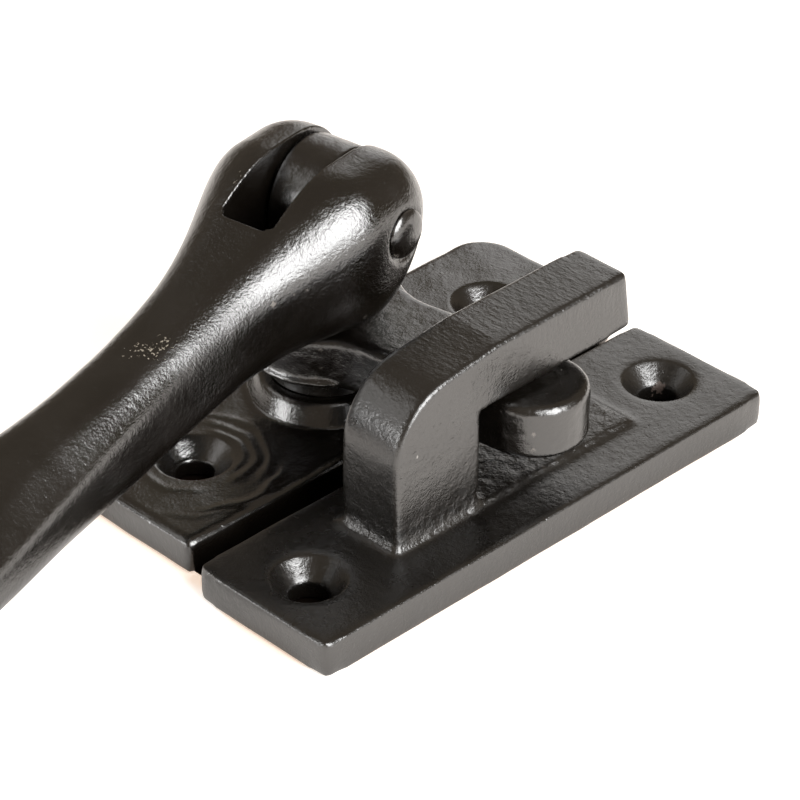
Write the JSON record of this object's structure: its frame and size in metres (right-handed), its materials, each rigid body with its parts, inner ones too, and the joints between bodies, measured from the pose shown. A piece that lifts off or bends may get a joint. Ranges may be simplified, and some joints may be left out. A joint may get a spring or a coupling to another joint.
{
  "type": "lever latch",
  "caption": "Black cast-iron lever latch: a forked folding handle turns a round-nosed tongue on a pivot, home under a square hook that stands on a separate keep plate.",
  "frame": {"origin": "midway between the back plate's screw holes, on the mounting plane", "axes": "+X along both plates, away from the handle; +Y from the keep towards the back plate; +Z off the door"},
  "size_m": [0.1321, 0.0451, 0.0337],
  "materials": {
    "plate_iron": "satin black paint over cast grain",
    "lever_iron": "satin black paint over cast grain",
    "painted_steel": "satin black paint",
    "bare_steel": "dull bare steel"
  },
  "bodies": {
    "plates": {"back_plate": "plate_iron", "hook_plate": "plate_iron", "thrust_washer": "painted_steel"},
    "swivel": {"swivel": "lever_iron", "pivot_rivet": "bare_steel", "tail_washer": "bare_steel"},
    "handle": {"handle": "lever_iron", "hinge_pin": "painted_steel"}
  },
  "joints": [
    {"name": "swivel_turn", "type": "hinge", "parent": "plates", "child": "swivel", "pos_m": [-0.0025, 0, 0], "axis": [0, 0, 1], "range_deg": [-4, 29]},
    {"name": "handle_fold", "type": "hinge", "parent": "swivel", "child": "handle", "pos_m": [-0.0025, 0, 0.0263], "axis": [-0.1564, 0.9877, 0], "range_deg": [0, 195]}
  ]
}
